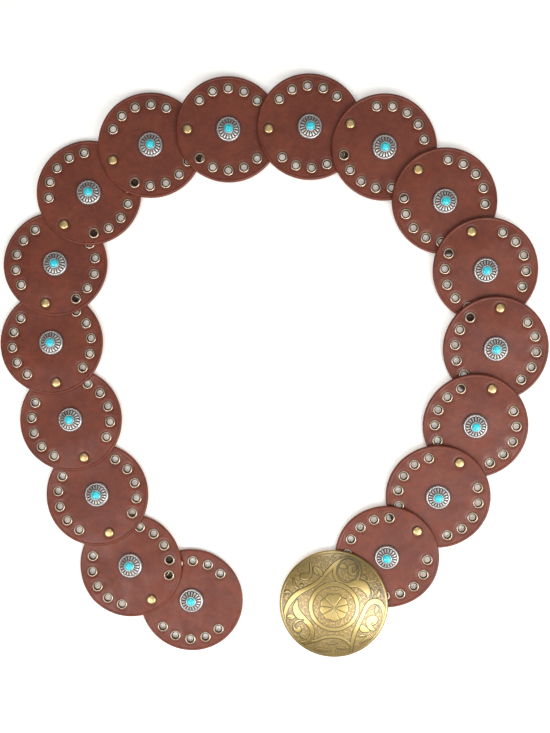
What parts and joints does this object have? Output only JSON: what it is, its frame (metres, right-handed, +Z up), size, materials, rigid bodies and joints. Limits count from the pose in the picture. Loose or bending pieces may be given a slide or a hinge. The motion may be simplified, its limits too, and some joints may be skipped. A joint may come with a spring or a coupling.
{
  "type": "concho belt",
  "caption": "Belt of overlapping round leather discs riveted edge over edge, with eyelets, silver and turquoise conchos and a domed, engraved hook buckle, laid open.",
  "frame": {"origin": "on the table, below the middle of the belt's box", "axes": "+Z up from the table; +Y towards the top of the curved strip, away from its open ends; +X towards the side with the buckle"},
  "size_m": [0.3686, 0.3914, 0.0141],
  "materials": {
    "leather": "satin reddish-brown",
    "silver": "polished, dark in the grooves, with a turquoise stone",
    "rivet_brass": "polished",
    "antique_brass": "antique, engraved, dark in the grooves"
  },
  "bodies": {
    "root": {"leather_disc_01": "leather", "leather_disc_02": "leather", "leather_disc_03": "leather", "leather_disc_04": "leather", "leather_disc_05": "leather", "leather_disc_06": "leather", "leather_disc_07": "leather", "leather_disc_08": "leather", "leather_disc_09": "leather", "leather_disc_10": "leather", "leather_disc_11": "leather", "leather_disc_12": "leather", "leather_disc_13": "leather", "leather_disc_14": "leather", "leather_disc_15": "leather", "leather_disc_16": "leather", "leather_disc_17": "leather", "concho_01": "silver", "concho_02": "silver", "concho_03": "silver", "concho_04": "silver", "concho_05": "silver", "concho_06": "silver", "concho_07": "silver", "concho_08": "silver", "concho_09": "silver", "concho_10": "silver", "concho_11": "silver", "concho_12": "silver", "concho_13": "silver", "concho_14": "silver", "concho_15": "silver", "concho_16": "silver", "concho_17": "silver", "rivet_01": "rivet_brass", "rivet_02": "rivet_brass", "rivet_03": "rivet_brass", "rivet_04": "rivet_brass", "rivet_05": "rivet_brass", "rivet_06": "rivet_brass", "rivet_07": "rivet_brass", "rivet_08": "rivet_brass", "rivet_09": "rivet_brass", "rivet_10": "rivet_brass", "rivet_11": "rivet_brass", "rivet_12": "rivet_brass", "rivet_13": "rivet_brass", "rivet_14": "rivet_brass", "rivet_15": "rivet_brass", "rivet_16": "rivet_brass", "buckle": "antique_brass"}
  },
  "joints": []
}
